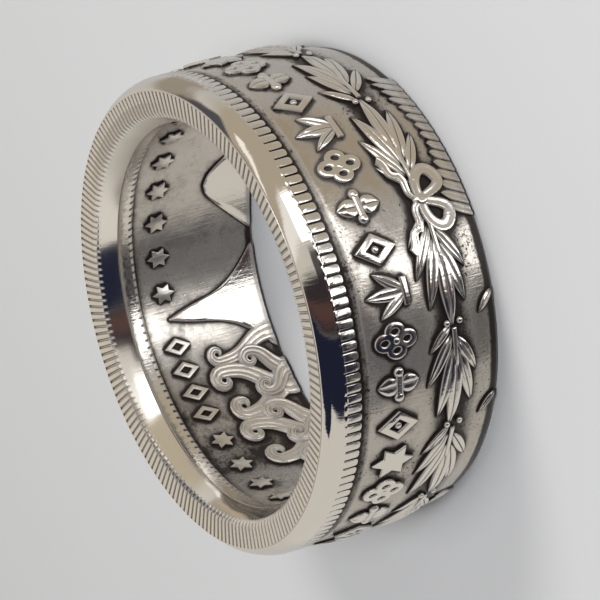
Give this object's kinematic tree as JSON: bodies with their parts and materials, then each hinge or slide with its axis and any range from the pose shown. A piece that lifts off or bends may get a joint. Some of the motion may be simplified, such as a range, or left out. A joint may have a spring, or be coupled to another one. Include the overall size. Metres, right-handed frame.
{
  "type": "coin ring",
  "caption": "Wide band ring folded from a silver coin, with a milled end face, a row of dentils, relief ornaments and stars outside and inside, and an open finger bore.",
  "frame": {"origin": "middle of the punched end of the band, on the ring's axis, where the ring rests", "axes": "+Z along the ring's axis, up towards the milled end face; the bow of the wreath faces -Y"},
  "size_m": [0.0266, 0.0266, 0.0106],
  "materials": {
    "silver": "old coin silver, polished on the raised parts and the rim, with dark patina in the recesses"
  },
  "bodies": {
    "root": {"ring_band": "silver"}
  },
  "joints": []
}
